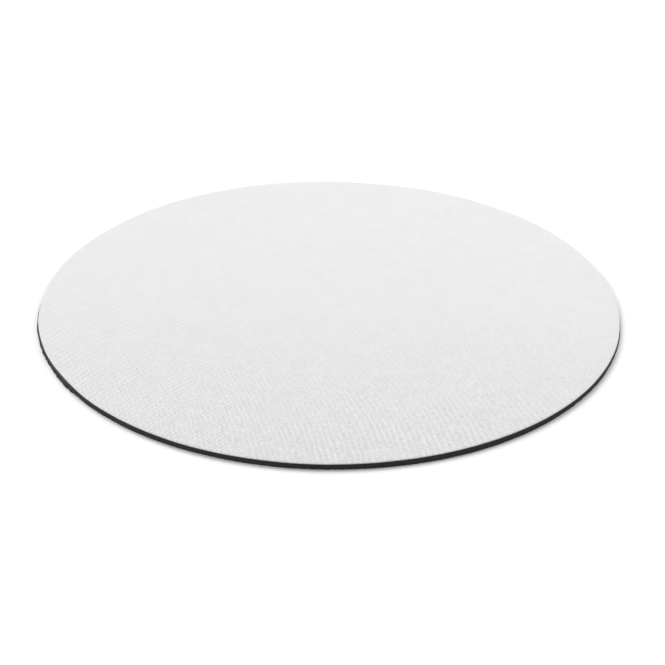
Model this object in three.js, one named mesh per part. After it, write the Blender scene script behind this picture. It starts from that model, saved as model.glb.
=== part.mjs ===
// A round mouse pad: white cloth, a bonding film and a black foam-rubber base, laminated as one sheet
// and stamped out with a round cutting die. The die leaves one rim on all three layers: it drags their
// edges down, rounds the cloth over, and lets the squeezed foam spring back into a hollow, flared wall.
// Millimetres, +Z up. The origin is the centre of the underside, which lies on the desk.

import * as THREE from 'three';

// Driving dimensions
const PAD_DIAMETER = 200; // of the cloth face
const CLOTH_THICKNESS = 0.25;
const FILM_THICKNESS = 0.1;
const FOAM_THICKNESS = 1.95;

// The mark of the die at the rim
const RIM_DROP = 0.12; // how far the die drags the layers down at the cut
const RIM_DROP_WIDTH = 1.5; // the ring in which the layers bend down to it
const CLOTH_EDGE_ROUND = 0.1; // the rounded upper edge of the cut cloth
const FOOT_FLARE = 0.2; // how far the foot of the foam stands out past the cloth
const FOAM_WALL_HOLLOW = 0.1; // how far the foam wall springs back at half its height
const FOAM_FOOT_ROUND = 0.15; // the rounded edge between the foam wall and the underside

// Facets
const SIDES = 120; // round the pad
const CURVE_STEPS = 3; // along each bend of a profile

const padRadius = PAD_DIAMETER / 2;
const footRadius = padRadius + FOOT_FLARE;
const bendStart = padRadius - RIM_DROP_WIDTH;

// Heights of the faces between the layers, where they lie flat
const foamTop = FOAM_THICKNESS;
const filmTop = foamTop + FILM_THICKNESS;
const clothTop = filmTop + CLOTH_THICKNESS;

// How far a layer has bent down at a radius past the start of the bend, along a parabola
function drop(radius) {
  const share = (radius - bendStart) / RIM_DROP_WIDTH;
  return RIM_DROP * share ** 2;
}

// A layer's lower face: flat from the axis, then bent down to the cut
function drawFaceOutwards(profile, height) {
  profile.moveTo(0, height);
  profile.lineTo(bendStart, height);
  profile.quadraticCurveTo((bendStart + padRadius) / 2, height, padRadius, height - drop(padRadius));
}

// A layer's upper face, from the profile's last point at a radius near the cut back to the axis
function drawFaceInwards(profile, height, radius) {
  profile.quadraticCurveTo((bendStart + radius) / 2, height, bendStart, height);
  profile.lineTo(0, height);
}

function clothProfile() {
  const profile = new THREE.Path();
  const cornerHeight = clothTop - drop(padRadius);
  const roundEnd = padRadius - CLOTH_EDGE_ROUND;
  drawFaceOutwards(profile, filmTop);
  profile.lineTo(padRadius, cornerHeight - CLOTH_EDGE_ROUND);
  profile.quadraticCurveTo(padRadius, cornerHeight, roundEnd, clothTop - drop(roundEnd));
  drawFaceInwards(profile, clothTop, roundEnd);
  return profile;
}

function filmProfile() {
  const profile = new THREE.Path();
  drawFaceOutwards(profile, foamTop);
  profile.lineTo(padRadius, filmTop - drop(padRadius));
  drawFaceInwards(profile, filmTop, padRadius);
  return profile;
}

function foamProfile() {
  const profile = new THREE.Path();
  const wallTop = foamTop - drop(padRadius);
  const wallMiddle = (FOAM_FOOT_ROUND + wallTop) / 2;
  // A quadratic curve passes halfway between its chord and its control point
  const hollowControl = (footRadius + padRadius) / 2 - 2 * FOAM_WALL_HOLLOW;
  profile.moveTo(0, 0);
  profile.lineTo(footRadius - FOAM_FOOT_ROUND, 0);
  profile.quadraticCurveTo(footRadius, 0, footRadius, FOAM_FOOT_ROUND);
  profile.quadraticCurveTo(hollowControl, wallMiddle, padRadius, wallTop);
  drawFaceInwards(profile, foamTop, padRadius);
  return profile;
}

// Turns a profile of radius and height about the pad's upright axis
function turnedLayer(name, profile, colour, roughness) {
  const geometry = new THREE.LatheGeometry(profile.getPoints(CURVE_STEPS), SIDES);
  geometry.rotateX(Math.PI / 2);
  const material = new THREE.MeshStandardMaterial({ color: colour, roughness, metalness: 0 });
  const layer = new THREE.Mesh(geometry, material);
  layer.name = name;
  return layer;
}

const mousePad = new THREE.Group();
mousePad.add(turnedLayer('foam_rubber_base', foamProfile(), 0x343434, 0.85));
mousePad.add(turnedLayer('bonding_film', filmProfile(), 0x55544f, 0.5));
mousePad.add(turnedLayer('cloth_top', clothProfile(), 0xececec, 0.9));

export default mousePad;
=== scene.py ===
import math

import bpy
from mathutils import Matrix, Vector, noise


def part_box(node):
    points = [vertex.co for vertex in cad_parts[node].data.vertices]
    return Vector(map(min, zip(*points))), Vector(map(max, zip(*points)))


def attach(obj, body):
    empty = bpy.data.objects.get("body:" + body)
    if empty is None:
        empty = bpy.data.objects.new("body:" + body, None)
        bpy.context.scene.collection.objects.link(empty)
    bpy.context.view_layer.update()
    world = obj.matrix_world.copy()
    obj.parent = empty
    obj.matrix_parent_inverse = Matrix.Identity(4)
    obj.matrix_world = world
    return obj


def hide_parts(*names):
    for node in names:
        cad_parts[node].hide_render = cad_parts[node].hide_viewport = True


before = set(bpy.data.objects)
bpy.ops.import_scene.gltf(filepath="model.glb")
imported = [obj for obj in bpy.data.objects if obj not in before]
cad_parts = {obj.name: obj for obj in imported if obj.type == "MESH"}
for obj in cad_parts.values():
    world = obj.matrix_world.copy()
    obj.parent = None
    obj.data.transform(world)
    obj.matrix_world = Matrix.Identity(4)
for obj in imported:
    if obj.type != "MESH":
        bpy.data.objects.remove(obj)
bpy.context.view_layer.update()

# A round mouse pad: white woven cloth, a melted bonding film and black foam rubber, laminated as a sheet
# and stamped out with a round die. Metres, +Z up, on a pale studio floor.

MM = 0.001

# Sizes of the laminate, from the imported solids
_, foam_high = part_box("foam_rubber_base")
film_low, film_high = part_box("bonding_film")
_, cloth_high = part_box("cloth_top")
PAD_RADIUS = cloth_high.x
FOAM_TOP = foam_high.z
FILM_TOP = film_high.z
CLOTH_TOP = cloth_high.z

# The mark of the die at the rim
RIM_DROP = FOAM_TOP - film_low.z  # how far the die drags the layers down at the cut
RIM_DROP_WIDTH = 1.5 * MM  # the ring in which they bend down to it
CLOTH_EDGE_ROUND = 0.1 * MM
FOOT_FLARE = foam_high.x - PAD_RADIUS
FOAM_WALL_HOLLOW = 0.1 * MM
FOAM_FOOT_ROUND = 0.15 * MM

# How far the sheet strays from a true plane, and the cut from a true circle, and over what lengths
SHEET_WAVE = 0.05 * MM
SHEET_WAVE_LENGTH = 35 * MM
CUT_WANDER = 0.06 * MM
CUT_WANDER_LENGTH = 6 * MM
FOAM_TEAR = 0.03 * MM
FOAM_TEAR_LENGTH = 2.2 * MM

# Places where the cut is flawed: the turn to each from +X and its spread in degrees, and in millimetres how
# far the cloth, and the film and foam below it, stand out from the true cut, and how deep the foam is torn
CUT_FLAWS = (
    (126, 9, 0.5, 0.45, 0.1),
    (108, 8, 0.4, 0.35, 0.1),
    (82, 5, -0.4, -0.35, 0.1),
    (25, 7, -0.3, -0.25, 0.1),
    (8, 7, 0.5, 0.45, 0.1),
    (-7, 6, -0.12, 0.0, 0.0),
    (-17, 6, 0.0, -0.15, 0.1),
    (-35, 9, 0.03, -0.19, 0.1),
    (-64, 10, 0.02, 0.12, 0.0),
    (-92, 9, 0.2, -0.03, 0.0),
    (-112, 10, 0.12, -0.14, 0.0),
    (-138, 13, -0.08, -0.15, 0.1),
    (-150, 6, -0.32, 0.1, 0.5),
    (-163, 4, 0.0, 0.22, 0.3),
    (-174, 7, 0.1, 0.4, 0.1),
)

# Mesh fineness, and the angles in degrees past which an edge shows as sharp
RIM_SIDES = 900
RING_SPACING = 4 * MM
BEND_STEPS = 6
LAYER_EDGE_ANGLE = 40
TREAD_EDGE_ANGLE = 25

# Non-slip tread that a stamp presses into the underside
TREAD_PITCH = 2.0 * MM
TREAD_DEPTH = 0.2 * MM
TREAD_LAND_SHARE = 0.62
TREAD_HEADING = math.radians(30)
STAMP_REACH = PAD_RADIUS * 1.5  # half the width of the stamp
STAMP_SPARE = 0.05 * MM  # how far the foam first reaches below the desk plane
STAMP_WELD = 0.001 * MM  # corners of the stamp nearer than this are one
SKIN_FACING = -0.5  # faces that look down more than this have the moulded skin

# Cut yarn ends that stand out of the cloth's edge
YARN_SPACING = 0.5 * MM
YARN_HALF_LENGTH = 0.26 * MM
YARN_HALF_WIDTH = 0.2 * MM
YARN_HALF_HEIGHT = 0.09 * MM
YARN_RISE = 0.05 * MM  # how far they lie over and under their middle height, in turn
YARN_STAND = 0.05 * MM  # how far they stand out of the cut
YARN_SINK = 0.02 * MM  # how far their middle height lies below the cloth's
YARN_LEAST = (0.75, 0.85, 0.8)  # the smallest end, as shares of its half sizes
YARN_MOST = (1.25, 1.1, 1.1)  # the largest end
YARN_SEED = 7


# Node helpers

# A Mix node's colour sockets, whose names are also those of its number sockets
COLOUR_A = 6
COLOUR_B = 7
COLOUR_RESULT = 2


def add_node(tree, kind, inputs=None, **settings):
    """Adds a node. Settings are its properties, and inputs are its sockets: a value or a node's output."""
    node = tree.nodes.new(kind)
    for name, value in settings.items():
        setattr(node, name, value)
    for name, value in (inputs or {}).items():
        if isinstance(value, bpy.types.NodeSocket):
            tree.links.new(value, node.inputs[name])
        else:
            node.inputs[name].default_value = value
    return node


def linear(hex_colour):
    """An sRGB colour such as #ECECEC as linear red, green, blue and alpha, by the sRGB standard."""
    shares = [int(hex_colour[i : i + 2], 16) / 255 for i in (1, 3, 5)]
    return [s / 12.92 if s <= 0.04045 else ((s + 0.055) / 1.055) ** 2.4 for s in shares] + [1.0]


def new_material(name):
    """A material with its tree, the socket that takes its surface, and its Object coordinates."""
    material = bpy.data.materials.new(name)
    material.use_nodes = True
    tree = material.node_tree
    tree.nodes.clear()
    output = add_node(tree, "ShaderNodeOutputMaterial")
    position = add_node(tree, "ShaderNodeTexCoord").outputs["Object"]
    return material, tree, output.inputs["Surface"], position


# Materials

# The weave: its threads, and the rows that they make from a distance
THREAD_PITCH = 0.4 * MM
THREAD_WANDER = 0.5
THREAD_HEADINGS = (math.radians(5), math.radians(95))
ROW_PITCH = 1.59 * MM
ROW_WANDER = 2.2
WARP_HEADING = math.radians(-70)
WEFT_HEADING = math.radians(35)
WARP_BOW = (-0.2, -5.7, -0.5)
WEFT_BOW = (-1.3, -0.3, 2.4)
WAVE_PERIOD = math.pi / 10  # of a wave texture at a scale of 1

# Where the rows show: warp gives way to weft along X, both fade out towards a plain part of the cloth, and
# all threads grow clearer along Y to the front
WARP_PLACE = -30 * MM
WEFT_PLACE = 20 * MM
PLAIN_MIDDLE = (55 * MM, 30 * MM, 0)
PLAIN_RADIUS = 68 * MM
CLEAR_RADIUS = 108 * MM
FAINT_PLACE = 5 * MM
CLEAR_PLACE = -86 * MM

# Sizes of the patterns in the cloth: thick places in its yarn, stretches of broken rows, and mottling
SLUB_SIZE = 0.5 * MM
BREAK_SIZE = 8 * MM
MOTTLE_SIZE = 5 * MM

# Levels of the weave, from 0 in a gap to 1 on a crown: halfway, and where no thread shows, which is set
# above halfway so that the cloth is painted lighter towards the back, where its threads fade: painted light
HALFWAY = 0.5
PLAIN_PAINTED_LIGHT_LEVEL = 0.62

# Sizes of the patterns in the other materials
YARN_PATCH = 0.6 * MM
FOAM_CELL = 0.35 * MM
FOAM_DUST = 3 * MM
SKIN_GRAIN = 0.5 * MM
FILM_CLOUD = 2 * MM


def thread_rows(tree, position, heading, pitch, wander, bow=(0, 0, 0)):
    """Rows of threads across a heading, from 0 between two threads to 1 on a thread's crown.

    The bow bends and spreads the rows away from the middle of the pad. Its three shares, each for a metre,
    go with x times x, x times y and y times y."""
    turned = add_node(
        tree,
        "ShaderNodeMapping",
        {"Vector": position, "Rotation": (0, 0, -heading)},
        vector_type="POINT",
    )
    place = add_node(tree, "ShaderNodeSeparateXYZ", {"Vector": position}).outputs
    x_x_y = add_node(tree, "ShaderNodeCombineXYZ", {"X": place["X"], "Y": place["X"], "Z": place["Y"]})
    x_y_y = add_node(tree, "ShaderNodeCombineXYZ", {"X": place["X"], "Y": place["Y"], "Z": place["Y"]})
    products = add_node(
        tree, "ShaderNodeVectorMath", {0: x_x_y.outputs[0], 1: x_y_y.outputs[0]}, operation="MULTIPLY"
    )
    bend = add_node(tree, "ShaderNodeVectorMath", {0: products.outputs[0], 1: bow}, operation="DOT_PRODUCT")
    shift = add_node(tree, "ShaderNodeCombineXYZ", {"X": bend.outputs["Value"]})
    bowed = add_node(
        tree, "ShaderNodeVectorMath", {0: turned.outputs["Vector"], 1: shift.outputs[0]}, operation="ADD"
    )
    rows = add_node(
        tree,
        "ShaderNodeTexWave",
        {
            "Vector": bowed.outputs[0],
            "Scale": WAVE_PERIOD / pitch,
            "Distortion": wander,
            "Detail": 2.0,
            "Detail Scale": 0.6,
        },
        wave_type="BANDS",
        bands_direction="X",
        wave_profile="SIN",
    )
    return rows.outputs["Fac"]


def patches(tree, position, size, low=0.35, high=0.65):
    """Soft random patches of a size, from 0 where the noise is low to 1 where it is high."""
    cloud = add_node(tree, "ShaderNodeTexNoise", {"Vector": position, "Scale": 1 / size, "Detail": 2.0})
    spread = add_node(
        tree,
        "ShaderNodeMapRange",
        {"Value": cloud.outputs["Fac"], "From Min": low, "From Max": high},
    )
    return spread.outputs["Result"]


def woven_polyester():
    """White polyester cloth, woven, heat-set and left matt: faint broken rows of threads and no highlight.

    The real threads cross about 0.4 mm apart. From the photo's distance that is too fine to see, so rows of
    about 1.6 mm are drawn over them, bowed as cloth is when it is pulled off its frame. Warp shows at the
    left, weft all over and most at the right, and both fade towards the back right. The cloth is also
    painted lighter towards the back and darker towards the front: painted light and shade. Slubs, the thick
    places in the yarn, are drawn coarser too."""
    material, tree, surface, position = new_material("woven_white_polyester")
    warp = thread_rows(tree, position, WARP_HEADING, ROW_PITCH, ROW_WANDER, WARP_BOW)
    weft = thread_rows(tree, position, WEFT_HEADING, ROW_PITCH, ROW_WANDER, WEFT_BOW)
    place = add_node(tree, "ShaderNodeSeparateXYZ", {"Vector": position}).outputs
    across_pad = {"Value": place["X"], "From Min": WARP_PLACE, "From Max": WEFT_PLACE}
    warp_share = add_node(tree, "ShaderNodeMapRange", {**across_pad, "To Min": 0.8, "To Max": 0.0})
    weft_share = add_node(tree, "ShaderNodeMapRange", {**across_pad, "To Min": 0.5, "To Max": 0.7})
    faint_warp = add_node(
        tree,
        "ShaderNodeMix",
        {"Factor": warp_share.outputs["Result"], "A": HALFWAY, "B": warp},
        data_type="FLOAT",
    ).outputs["Result"]
    faint_weft = add_node(
        tree,
        "ShaderNodeMix",
        {"Factor": weft_share.outputs["Result"], "A": HALFWAY, "B": weft},
        data_type="FLOAT",
    ).outputs["Result"]
    both = add_node(tree, "ShaderNodeMath", {0: faint_warp, 1: faint_weft}, operation="ADD").outputs[0]
    rows = add_node(tree, "ShaderNodeMath", {0: both, 1: HALFWAY}, operation="SUBTRACT").outputs[0]
    past_plain_part = add_node(
        tree, "ShaderNodeVectorMath", {0: position, 1: PLAIN_MIDDLE}, operation="DISTANCE"
    ).outputs["Value"]
    row_clearness = add_node(
        tree,
        "ShaderNodeMapRange",
        {
            "Value": past_plain_part,
            "From Min": PLAIN_RADIUS,
            "From Max": CLEAR_RADIUS,
            "To Min": 0.1,
            "To Max": 0.8,
        },
    ).outputs["Result"]
    broken_rows = add_node(
        tree,
        "ShaderNodeMix",
        {"Factor": patches(tree, position, BREAK_SIZE, low=0.2, high=0.6), "A": HALFWAY, "B": rows},
        data_type="FLOAT",
    ).outputs["Result"]
    faint_rows = add_node(
        tree, "ShaderNodeMix", {"Factor": row_clearness, "A": HALFWAY, "B": broken_rows}, data_type="FLOAT"
    ).outputs["Result"]
    along_yarn = add_node(
        tree, "ShaderNodeMapping", {"Vector": position, "Scale": (1, 0.5, 1)}, vector_type="POINT"
    ).outputs["Vector"]
    threads = add_node(
        tree,
        "ShaderNodeMix",
        {"Factor": 0.45, "A": faint_rows, "B": patches(tree, along_yarn, SLUB_SIZE)},
        data_type="FLOAT",
    ).outputs["Result"]
    # Threads are faint at the back, and overdrawn at the very front, where the factor is more than 1. The
    # same factor paints the cloth lighter towards the back and darker towards the front: painted light and
    # shade
    clearness = add_node(
        tree,
        "ShaderNodeMapRange",
        {
            "Value": place["Y"],
            "From Min": FAINT_PLACE,
            "From Max": CLEAR_PLACE,
            "To Min": 0.3,
            "To Max": 1.4,
        },
    ).outputs["Result"]
    # Weave relief that drifts to the plain level where threads are faint: painted lighter at the back and
    # darker at the front
    relief_and_painted_tone = add_node(
        tree,
        "ShaderNodeMix",
        {"Factor": clearness, "A": PLAIN_PAINTED_LIGHT_LEVEL, "B": threads},
        data_type="FLOAT",
        clamp_factor=False,
    ).outputs["Result"]
    crossings = add_node(
        tree,
        "ShaderNodeMath",
        {
            0: thread_rows(tree, position, THREAD_HEADINGS[0], THREAD_PITCH, THREAD_WANDER),
            1: thread_rows(tree, position, THREAD_HEADINGS[1], THREAD_PITCH, THREAD_WANDER),
        },
        operation="MULTIPLY",
    ).outputs[0]
    mottled = add_node(
        tree,
        "ShaderNodeMix",
        {"Factor": 0.07, "A": relief_and_painted_tone, "B": patches(tree, position, MOTTLE_SIZE)},
        data_type="FLOAT",
    ).outputs["Result"]
    shade = add_node(
        tree, "ShaderNodeMix", {"Factor": 0.2, "A": mottled, "B": crossings}, data_type="FLOAT"
    ).outputs["Result"]
    height = add_node(
        tree, "ShaderNodeMix", {"Factor": 0.35, "A": relief_and_painted_tone, "B": crossings}, data_type="FLOAT"
    ).outputs["Result"]
    colour = add_node(
        tree,
        "ShaderNodeMix",
        {"Factor": shade, COLOUR_A: linear("#D5D5D5"), COLOUR_B: linear("#FAFAFA")},
        data_type="RGBA",
    )
    bump = add_node(
        tree,
        "ShaderNodeBump",
        {"Height": height, "Strength": 0.4, "Distance": 0.08 * MM},
    )
    cloth = add_node(
        tree,
        "ShaderNodeBsdfPrincipled",
        {
            "Base Color": colour.outputs[COLOUR_RESULT],
            "Roughness": 0.9,
            "Specular IOR Level": 0.2,
            "Sheen Weight": 0.1,
            "Normal": bump.outputs["Normal"],
        },
    )
    tree.links.new(cloth.outputs["BSDF"], surface)
    return material


def yarn_with_painted_highlight():
    """Ends of white polyester yarn, painted a shade brighter than the woven face: a painted highlight along
    the cut edge.
    """
    material, tree, surface, position = new_material("cut_yarn_painted_highlight")
    # Painted highlight: the yarn's colours lie above the cloth's, so the cut edge shows as a bright line
    colour = add_node(
        tree,
        "ShaderNodeMix",
        {
            "Factor": patches(tree, position, YARN_PATCH),
            COLOUR_A: linear("#E8E8E8"),
            COLOUR_B: linear("#FAFAFA"),
        },
        data_type="RGBA",
    )
    yarn = add_node(
        tree,
        "ShaderNodeBsdfPrincipled",
        {"Base Color": colour.outputs[COLOUR_RESULT], "Roughness": 0.8},
    )
    tree.links.new(yarn.outputs["BSDF"], surface)
    return material


def cut_foam_rubber():
    """Black foam rubber where the die cut through it: dull, with fine open cells and a dusting of grey.

    Real cells are finer, and these are drawn coarse enough to show from near."""
    material, tree, surface, position = new_material("cut_black_foam_rubber")
    cells = add_node(
        tree,
        "ShaderNodeTexVoronoi",
        {"Vector": position, "Scale": 1 / FOAM_CELL},
        feature="F1",
    )
    dust = add_node(
        tree,
        "ShaderNodeTexNoise",
        {"Vector": position, "Scale": 1 / FOAM_DUST, "Detail": 4.0},
    )
    shade = add_node(
        tree,
        "ShaderNodeMix",
        {"Factor": 0.5, "A": cells.outputs["Distance"], "B": dust.outputs["Fac"]},
        data_type="FLOAT",
    )
    colour = add_node(
        tree,
        "ShaderNodeMix",
        {"Factor": shade.outputs["Result"], COLOUR_A: linear("#282828"), COLOUR_B: linear("#424242")},
        data_type="RGBA",
    )
    bump = add_node(
        tree,
        "ShaderNodeBump",
        {"Height": cells.outputs["Distance"], "Strength": 0.5, "Distance": 0.05 * MM},
    )
    rubber = add_node(
        tree,
        "ShaderNodeBsdfPrincipled",
        {
            "Base Color": colour.outputs[COLOUR_RESULT],
            "Roughness": 0.85,
            "Specular IOR Level": 0.3,
            "Normal": bump.outputs["Normal"],
        },
    )
    tree.links.new(rubber.outputs["BSDF"], surface)
    return material


def embossed_rubber_skin():
    """Moulded skin under the foam: black, closer and a little glossier than the cut, with a fine grain."""
    material, tree, surface, position = new_material("embossed_black_rubber_skin")
    grain = add_node(
        tree,
        "ShaderNodeTexNoise",
        {"Vector": position, "Scale": 1 / SKIN_GRAIN, "Detail": 3.0},
    )
    colour = add_node(
        tree,
        "ShaderNodeMix",
        {"Factor": grain.outputs["Fac"], COLOUR_A: linear("#1E1E1E"), COLOUR_B: linear("#343434")},
        data_type="RGBA",
    )
    bump = add_node(
        tree,
        "ShaderNodeBump",
        {"Height": grain.outputs["Fac"], "Strength": 0.3, "Distance": 0.03 * MM},
    )
    rubber = add_node(
        tree,
        "ShaderNodeBsdfPrincipled",
        {
            "Base Color": colour.outputs[COLOUR_RESULT],
            "Roughness": 0.6,
            "Normal": bump.outputs["Normal"],
        },
    )
    tree.links.new(rubber.outputs["BSDF"], surface)
    return material


def melted_film():
    """Hot-melt film pressed into the foam: cloudy, dark over the black, with a slight shine at the cut."""
    material, tree, surface, position = new_material("melted_bonding_film")
    cloud = add_node(
        tree,
        "ShaderNodeTexNoise",
        {"Vector": position, "Scale": 1 / FILM_CLOUD, "Detail": 2.0},
    )
    colour = add_node(
        tree,
        "ShaderNodeMix",
        {"Factor": cloud.outputs["Fac"], COLOUR_A: linear("#2A2A29"), COLOUR_B: linear("#45443F")},
        data_type="RGBA",
    )
    film = add_node(
        tree,
        "ShaderNodeBsdfPrincipled",
        {"Base Color": colour.outputs[COLOUR_RESULT], "Roughness": 0.5, "Specular IOR Level": 0.2},
    )
    tree.links.new(film.outputs["BSDF"], surface)
    return material


# Shapes

# A profile is a layer's section: points of radius and height from the axis out along the layer's underside,
# up the cut, and back along its upper face to the axis


def rim_drop(radius):
    """How far the die dragged the layers down at a radius."""
    share = max(0.0, (radius - PAD_RADIUS + RIM_DROP_WIDTH) / RIM_DROP_WIDTH)
    return RIM_DROP * share**2


def bent_face(height, end=PAD_RADIUS):
    """Points of a layer's face from the axis out to end: flat, then bent down towards the cut."""
    start = PAD_RADIUS - RIM_DROP_WIDTH
    rings = round(start / RING_SPACING)
    flat = [(start * i / rings, height) for i in range(rings + 1)]
    bends = [start + (end - start) * (i + 1) / BEND_STEPS for i in range(BEND_STEPS)]
    return flat + [(radius, height - rim_drop(radius)) for radius in bends]


def curve(start, control, end, steps):
    """Points of a quadratic curve after its start, up to its end."""
    points = []
    for i in range(steps):
        t = (i + 1) / steps
        weights = ((1 - t) ** 2, 2 * t * (1 - t), t**2)
        points.append(tuple(sum(w * p[k] for w, p in zip(weights, (start, control, end))) for k in (0, 1)))
    return points


def cloth_profile():
    """The cloth, with its upper edge rounded over by the die."""
    round_end = PAD_RADIUS - CLOTH_EDGE_ROUND
    corner = (PAD_RADIUS, CLOTH_TOP - rim_drop(PAD_RADIUS))
    wall_end = (PAD_RADIUS, corner[1] - CLOTH_EDGE_ROUND)
    top = bent_face(CLOTH_TOP, round_end)
    return bent_face(FILM_TOP) + [wall_end] + curve(wall_end, corner, top[-1], BEND_STEPS) + top[-2::-1]


def film_profile():
    """The film, cut square."""
    return bent_face(FOAM_TOP) + bent_face(FILM_TOP)[::-1]


def foam_profile():
    """The foam, with a hollow wall that flares to a rounded foot."""
    foot = PAD_RADIUS + FOOT_FLARE
    wall_start = (foot, FOAM_FOOT_ROUND)
    top = bent_face(FOAM_TOP)
    wall_end = top[-1]
    # A quadratic curve passes halfway between its chord and its control point
    hollow = ((foot + PAD_RADIUS) / 2 - 2 * FOAM_WALL_HOLLOW, (wall_start[1] + wall_end[1]) / 2)
    underside = [(0, 0), (foot - FOAM_FOOT_ROUND, 0)]
    foot_curve = curve(underside[-1], (foot, 0), wall_start, BEND_STEPS)
    wall = curve(wall_start, hollow, wall_end, 2 * BEND_STEPS)
    return underside + foot_curve + wall + top[-2::-1]


def strayed(point, layer):
    """A point of a layer of the true figure, moved as the real sheet and cut stray from it.

    Foam is torn as well as cut, and most at some of the flaws."""
    radius = math.hypot(point.x, point.y)
    turn = math.atan2(point.y, point.x)
    across = Vector((point.x, point.y, 0))
    near_rim = max(0.0, 1 - (PAD_RADIUS - radius) / RIM_DROP_WIDTH)
    shift = CUT_WANDER * noise.noise(across / CUT_WANDER_LENGTH)
    tear = FOAM_TEAR
    for middle, spread, cloth_shift, base_shift, torn in CUT_FLAWS:
        past_middle = math.remainder(math.degrees(turn) - middle, 360)
        share = math.exp(-((past_middle / spread) ** 2)) * MM
        shift += share * (cloth_shift if layer == "cloth" else base_shift)
        tear += share * torn
    if layer == "foam":
        shift += tear * noise.noise(point / FOAM_TEAR_LENGTH)
    lift = SHEET_WAVE * noise.noise(across / SHEET_WAVE_LENGTH) * point.z / CLOTH_TOP
    return point + across.normalized() * shift * near_rim + Vector((0, 0, lift))


def turned_mesh(name, profile, layer):
    """A closed skin turned about Z from a layer's profile."""
    points = [strayed(Vector((0, 0, profile[0][1])), layer)]
    for radius, height in profile[1:-1]:
        for side in range(RIM_SIDES):
            turn = 2 * math.pi * side / RIM_SIDES
            true_point = Vector((radius * math.cos(turn), radius * math.sin(turn), height))
            points.append(strayed(true_point, layer))
    points.append(strayed(Vector((0, 0, profile[-1][1])), layer))
    rings = len(profile) - 2
    last = len(points) - 1
    faces = []
    for side in range(RIM_SIDES):
        beside = (side + 1) % RIM_SIDES
        faces.append((0, 1 + beside, 1 + side))
        for ring in range(rings - 1):
            low = 1 + ring * RIM_SIDES
            high = low + RIM_SIDES
            faces.append((low + side, low + beside, high + beside, high + side))
        top = 1 + (rings - 1) * RIM_SIDES
        faces.append((top + side, top + beside, last))
    mesh = bpy.data.meshes.new(name)
    mesh.from_pydata(points, [], faces)
    mesh.update()
    return mesh


def shown(name, mesh, material=None):
    """A scene object at the origin that shows a mesh."""
    piece = bpy.data.objects.new(name, mesh)
    bpy.context.scene.collection.objects.link(piece)
    if material:
        mesh.materials.append(material)
    return piece


def smooth_but_for_edges(mesh, degrees):
    """Smooth shading, with an edge left sharp where two faces meet at more than an angle."""
    mesh.shade_smooth()
    mesh.set_sharp_from_angle(angle=math.radians(degrees))


# Geometry node trees


def new_tree(name, inputs):
    """A geometry node tree with inputs, each a name with a socket kind, and the sockets that give them."""
    tree = bpy.data.node_groups.new(name, "GeometryNodeTree")
    tree.interface.new_socket("Geometry", in_out="INPUT", socket_type="NodeSocketGeometry")
    for label, kind in inputs.items():
        tree.interface.new_socket(label, in_out="INPUT", socket_type=kind)
    tree.interface.new_socket("Geometry", in_out="OUTPUT", socket_type="NodeSocketGeometry")
    given = add_node(tree, "NodeGroupInput").outputs
    return tree, given


def made_by(tree, piece, values):
    """Runs a tree on a piece with its inputs set, and keeps the result as the piece's plain mesh."""
    modifier = piece.modifiers.new(tree.name, "NODES")
    modifier.node_group = tree
    for item in tree.interface.items_tree:
        if item.item_type == "SOCKET" and item.in_out == "INPUT" and item.name in values:
            modifier[item.identifier] = values[item.name]
    depsgraph = bpy.context.evaluated_depsgraph_get()
    mesh = bpy.data.meshes.new_from_object(piece.evaluated_get(depsgraph))
    piece.modifiers.remove(modifier)
    piece.data = mesh
    return piece


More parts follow.
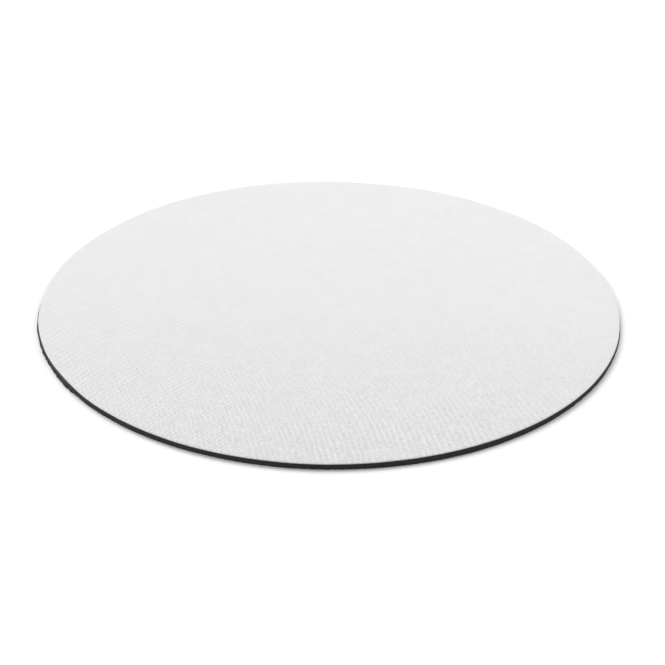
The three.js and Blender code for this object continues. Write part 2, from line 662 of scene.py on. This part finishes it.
def tread_tree():
    """Presses a waffle of square lands with grooves between them into the underside of a turned body."""
    tree, given = new_tree(
        "embossed_tread",
        {
            "Pitch": "NodeSocketFloat",
            "Depth": "NodeSocketFloat",
            "Land Share": "NodeSocketFloat",
            "Heading": "NodeSocketFloat",
            "Width": "NodeSocketFloat",
            "Height": "NodeSocketFloat",
            "Wall": "NodeSocketMaterial",
            "Skin": "NodeSocketMaterial",
        },
    )
    cells = add_node(tree, "ShaderNodeMath", {0: given["Width"], 1: given["Pitch"]}, operation="DIVIDE")
    lines = add_node(tree, "ShaderNodeMath", {0: cells.outputs[0], 1: 1.0}, operation="ADD")
    grid = add_node(
        tree,
        "GeometryNodeMeshGrid",
        {
            "Size X": given["Width"],
            "Size Y": given["Width"],
            "Vertices X": lines.outputs[0],
            "Vertices Y": lines.outputs[0],
        },
    )
    depth_up = add_node(tree, "ShaderNodeCombineXYZ", {"Z": given["Depth"]})
    downward = add_node(tree, "ShaderNodeMath", {0: given["Depth"], 1: -1.0}, operation="MULTIPLY")
    turn = add_node(tree, "ShaderNodeCombineXYZ", {"Z": given["Heading"]})
    groove_plane = add_node(
        tree,
        "GeometryNodeTransform",
        {"Geometry": grid.outputs["Mesh"], "Translation": depth_up.outputs[0], "Rotation": turn.outputs[0]},
    )
    studs = add_node(
        tree,
        "GeometryNodeExtrudeMesh",
        {"Mesh": groove_plane.outputs[0], "Offset Scale": downward.outputs[0], "Individual": True},
        mode="FACES",
    )
    lands = add_node(
        tree,
        "GeometryNodeScaleElements",
        {
            "Geometry": studs.outputs["Mesh"],
            "Selection": studs.outputs["Top"],
            "Scale": given["Land Share"],
        },
        domain="FACE",
    )
    underside = add_node(tree, "GeometryNodeFlipFaces", {"Mesh": lands.outputs["Geometry"]})
    body = add_node(
        tree,
        "GeometryNodeExtrudeMesh",
        {"Mesh": groove_plane.outputs[0], "Offset Scale": given["Height"], "Individual": False},
        mode="FACES",
    )
    open_block = add_node(tree, "GeometryNodeJoinGeometry")
    tree.links.new(underside.outputs["Mesh"], open_block.inputs["Geometry"])
    tree.links.new(body.outputs["Mesh"], open_block.inputs["Geometry"])
    block = add_node(
        tree,
        "GeometryNodeMergeByDistance",
        {"Geometry": open_block.outputs["Geometry"], "Distance": STAMP_WELD},
    )
    pressed = add_node(
        tree,
        "GeometryNodeMeshBoolean",
        operation="INTERSECT",
        solver="MANIFOLD",
    )
    tree.links.new(given["Geometry"], pressed.inputs["Mesh 2"])
    tree.links.new(block.outputs["Geometry"], pressed.inputs["Mesh 2"])
    realized = add_node(tree, "GeometryNodeRealizeInstances", {"Geometry": pressed.outputs["Mesh"]})
    cut = add_node(
        tree,
        "GeometryNodeSetMaterial",
        {"Geometry": realized.outputs["Geometry"], "Material": given["Wall"]},
    )
    facing = add_node(tree, "GeometryNodeInputNormal")
    upward = add_node(tree, "ShaderNodeSeparateXYZ", {"Vector": facing.outputs["Normal"]})
    below = add_node(
        tree,
        "FunctionNodeCompare",
        {"A": upward.outputs["Z"], "B": SKIN_FACING},
        data_type="FLOAT",
        operation="LESS_THAN",
    )
    skinned = add_node(
        tree,
        "GeometryNodeSetMaterial",
        {"Geometry": cut.outputs["Geometry"], "Selection": below.outputs[0], "Material": given["Skin"]},
    )
    add_node(tree, "NodeGroupOutput", {"Geometry": skinned.outputs["Geometry"]})
    return tree


def yarn_end_tree():
    """Sets a rounded yarn end at each thread round the cloth's cut edge, over and under in turn."""
    tree, given = new_tree(
        "cut_yarn_ends",
        {
            "Count": "NodeSocketInt",
            "Rim Radius": "NodeSocketFloat",
            "Height": "NodeSocketFloat",
            "Rise": "NodeSocketFloat",
            "Half Size": "NodeSocketVector",
            "Seed": "NodeSocketInt",
            "Yarn": "NodeSocketMaterial",
        },
    )
    circle = add_node(
        tree,
        "GeometryNodeCurvePrimitiveCircle",
        {"Resolution": given["Count"], "Radius": given["Rim Radius"]},
        mode="RADIUS",
    )
    index = add_node(tree, "GeometryNodeInputIndex")
    odd = add_node(tree, "ShaderNodeMath", {0: index.outputs[0], 1: 2.0}, operation="MODULO")
    side = add_node(tree, "ShaderNodeMath", {0: odd.outputs[0], 1: 2.0, 2: -1.0}, operation="MULTIPLY_ADD")
    height = add_node(
        tree,
        "ShaderNodeMath",
        {0: side.outputs[0], 1: given["Rise"], 2: given["Height"]},
        operation="MULTIPLY_ADD",
    )
    lift = add_node(tree, "ShaderNodeCombineXYZ", {"Z": height.outputs[0]})
    seats = add_node(
        tree,
        "GeometryNodeSetPosition",
        {"Geometry": circle.outputs["Curve"], "Offset": lift.outputs[0]},
    )
    knob = add_node(tree, "GeometryNodeMeshUVSphere", {"Segments": 6, "Rings": 4, "Radius": 1.0})
    place = add_node(tree, "GeometryNodeInputPosition")
    outward = add_node(
        tree,
        "FunctionNodeAlignRotationToVector",
        {"Vector": place.outputs[0]},
        axis="X",
        pivot_axis="Z",
    )
    spread = add_node(
        tree,
        "FunctionNodeRandomValue",
        {0: YARN_LEAST, 1: YARN_MOST, "Seed": given["Seed"]},
        data_type="FLOAT_VECTOR",
    )
    size = add_node(
        tree,
        "ShaderNodeVectorMath",
        {0: spread.outputs[0], 1: given["Half Size"]},
        operation="MULTIPLY",
    )
    ends = add_node(
        tree,
        "GeometryNodeInstanceOnPoints",
        {
            "Points": seats.outputs["Geometry"],
            "Instance": knob.outputs["Mesh"],
            "Rotation": outward.outputs["Rotation"],
            "Scale": size.outputs[0],
        },
    )
    realized = add_node(tree, "GeometryNodeRealizeInstances", {"Geometry": ends.outputs["Instances"]})
    dressed = add_node(
        tree,
        "GeometryNodeSetMaterial",
        {"Geometry": realized.outputs["Geometry"], "Material": given["Yarn"]},
    )
    add_node(tree, "NodeGroupOutput", {"Geometry": dressed.outputs["Geometry"]})
    return tree


# Pieces


def make_cloth(material):
    """The sheet of woven cloth that the mouse slides on."""
    piece = shown("woven_cloth", turned_mesh("woven_cloth", cloth_profile(), "cloth"), material)
    smooth_but_for_edges(piece.data, LAYER_EDGE_ANGLE)
    return piece


def make_yarn_ends(material):
    """The cut ends of the cloth's yarn, which stray as its edge does."""
    edge_low = FILM_TOP - rim_drop(PAD_RADIUS)
    edge_high = CLOTH_TOP - rim_drop(PAD_RADIUS)
    piece = shown("cut_yarn_ends", bpy.data.meshes.new("cut_yarn_ends"))
    made_by(
        yarn_end_tree(),
        piece,
        {
            # An even count, so that over and under alternate all the way round
            "Count": round(2 * math.pi * PAD_RADIUS / YARN_SPACING / 2) * 2,
            "Rim Radius": PAD_RADIUS - YARN_HALF_LENGTH + YARN_STAND,
            "Height": (edge_low + edge_high) / 2 - YARN_SINK,
            "Rise": YARN_RISE,
            "Half Size": (YARN_HALF_LENGTH, YARN_HALF_WIDTH, YARN_HALF_HEIGHT),
            "Seed": YARN_SEED,
            "Yarn": material,
        },
    )
    for vertex in piece.data.vertices:
        vertex.co = strayed(vertex.co, "cloth")
    piece.data.shade_smooth()
    return piece


def make_film(material):
    """The melted film between the cloth and the foam."""
    piece = shown("melted_film", turned_mesh("melted_film", film_profile(), "film"), material)
    smooth_but_for_edges(piece.data, LAYER_EDGE_ANGLE)
    return piece


def make_foam_base(wall_material, skin_material):
    """The foam base, turned and then pressed by the tread's stamp.

    The turned body reaches below the desk plane, so that the stamp alone makes its underside."""
    profile = [(radius, height if height else -STAMP_SPARE) for radius, height in foam_profile()]
    piece = shown("foam_base", turned_mesh("foam_base", profile, "foam"))
    cells = 2 * math.ceil(STAMP_REACH / TREAD_PITCH)
    made_by(
        tread_tree(),
        piece,
        {
            "Pitch": TREAD_PITCH,
            "Depth": TREAD_DEPTH,
            "Land Share": TREAD_LAND_SHARE,
            "Heading": TREAD_HEADING,
            "Width": cells * TREAD_PITCH,
            "Height": 2 * CLOTH_TOP,
            "Wall": wall_material,
            "Skin": skin_material,
        },
    )
    smooth_but_for_edges(piece.data, TREAD_EDGE_ANGLE)
    return piece


cloth = make_cloth(woven_polyester())
yarn_ends = make_yarn_ends(yarn_with_painted_highlight())
film = make_film(melted_film())
foam_base = make_foam_base(cut_foam_rubber(), embossed_rubber_skin())

for piece, node, slot in (
    (cloth, "cloth_top", "white_polyester_cloth"),
    (film, "bonding_film", "hot_melt_film"),
    (foam_base, "foam_rubber_base", "black_foam_rubber"),
):
    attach(piece, "root")
    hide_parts(node)
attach(yarn_ends, "root")


# Studio

FLOOR_HALF = 3.0  # half the floor's width
FLOOR_GAP = 0.02 * MM  # between the floor and the pad

# How much the floor is lifted towards white where it is seen: a little beside the pad, where it keeps the
# shadow, and fully at this reach from the pad's middle
LIFT_NEAR = 0.072
LIFT_FAR = 0.8
LIFT_REACH = 0.4

# The strength of the even light, and the soft lamps, each with its place, width and power in watts
AMBIENT = 0.235
SOFTBOXES = {
    "key_softbox": ((-0.3, 0.84, 1.2), 1.1, 14.9),
    "side_softbox": ((-1.0, -0.2, 0.7), 1.0, 4.2),
    "fill_softbox": ((0.36, 0.1, 0.41), 0.5, 0.79),
}


def seen_directly(tree):
    """1 for a ray from the camera, straight or by way of a mirror or a clear surface, and 0 for others."""
    path = add_node(tree, "ShaderNodeLightPath").outputs
    mirrored = add_node(
        tree,
        "ShaderNodeMath",
        {0: path["Is Glossy Ray"], 1: path["Is Transmission Ray"]},
        operation="MAXIMUM",
    )
    return add_node(
        tree, "ShaderNodeMath", {0: path["Is Camera Ray"], 1: mirrored.outputs[0]}, operation="MAXIMUM"
    ).outputs[0]


def make_floor():
    """A sweep of matt white paper. It looks pure white away from the pad, and keeps the pad's shadow."""
    material, tree, surface, position = new_material("matt_white_studio_paper")
    paper = add_node(tree, "ShaderNodeBsdfDiffuse", {"Color": linear("#E7E7E7")})
    bright_paper = add_node(tree, "ShaderNodeBsdfDiffuse", {"Color": linear("#FFFFFF")})
    reach = add_node(tree, "ShaderNodeVectorMath", {0: position}, operation="LENGTH")
    strength = add_node(
        tree,
        "ShaderNodeMapRange",
        {
            "Value": reach.outputs["Value"],
            "From Min": PAD_RADIUS,
            "From Max": LIFT_REACH,
            "To Min": LIFT_NEAR,
            "To Max": LIFT_FAR,
        },
    )
    lift = add_node(tree, "ShaderNodeEmission", {"Strength": strength.outputs["Result"]})
    bright = add_node(tree, "ShaderNodeAddShader", {0: bright_paper.outputs[0], 1: lift.outputs[0]})
    mixed = add_node(
        tree, "ShaderNodeMixShader", {0: seen_directly(tree), 1: paper.outputs[0], 2: bright.outputs[0]}
    )
    tree.links.new(mixed.outputs[0], surface)
    sides = ((-1, -1), (1, -1), (1, 1), (-1, 1))
    corners = [(x * FLOOR_HALF, y * FLOOR_HALF, -FLOOR_GAP) for x, y in sides]
    mesh = bpy.data.meshes.new("studio_floor")
    mesh.from_pydata(corners, [], [(0, 1, 2, 3)])
    floor = shown("studio_floor", mesh, material)


def make_softbox(name, place, width, power):
    """A round soft lamp that faces the pad."""
    lamp = bpy.data.lights.new(name, "AREA")
    lamp.shape = "DISK"
    lamp.size = width
    lamp.energy = power
    softbox = bpy.data.objects.new(name, lamp)
    softbox.location = place
    softbox.rotation_euler = (-Vector(place)).to_track_quat("-Z", "Y").to_euler()
    bpy.context.scene.collection.objects.link(softbox)


def make_light():
    """Faint even light, with soft lamps behind the pad, at its left, and nearer and smaller at its right."""
    world = bpy.data.worlds.new("soft_studio")
    world.use_nodes = True
    tree = world.node_tree
    tree.nodes.clear()
    even = add_node(tree, "ShaderNodeBackground", {"Color": linear("#FFFFFF"), "Strength": AMBIENT})
    white = add_node(tree, "ShaderNodeBackground", {"Color": linear("#FFFFFF"), "Strength": 1.0})
    mixed = add_node(
        tree, "ShaderNodeMixShader", {0: seen_directly(tree), 1: even.outputs[0], 2: white.outputs[0]}
    )
    add_node(tree, "ShaderNodeOutputWorld", {"Surface": mixed.outputs[0]})
    bpy.context.scene.world = world
    for name, (place, width, power) in SOFTBOXES.items():
        make_softbox(name, place, width, power)


# The photo's view: its height above the desk plane, its slight tilt, and where it looks on the cloth

VIEW_ELEVATION = math.radians(29.44)
VIEW_TILT = math.radians(0.47)
VIEW_DISTANCE = 0.815
VIEW_TARGET = Vector((1.1 * MM, -17.6 * MM, CLOTH_TOP))
VIEW_SENSOR = 36.0
VIEW_LENS = 130.0


def make_camera():
    """The camera, where the photo was taken from."""
    camera = bpy.data.cameras.new("photo_view")
    camera.sensor_width = VIEW_SENSOR
    camera.lens = VIEW_LENS
    backward = Vector((0, -math.cos(VIEW_ELEVATION), math.sin(VIEW_ELEVATION)))
    eye = bpy.data.objects.new("photo_view", camera)
    facing = (-backward).to_track_quat("-Z", "Y").to_matrix()
    tilt = Matrix.Rotation(VIEW_TILT, 3, backward)
    eye.location = VIEW_TARGET + backward * VIEW_DISTANCE
    eye.rotation_euler = (tilt @ facing).to_euler()
    bpy.context.scene.collection.objects.link(eye)
    bpy.context.scene.camera = eye


make_floor()
make_light()
make_camera()
bpy.context.scene.view_settings.view_transform = "Standard"
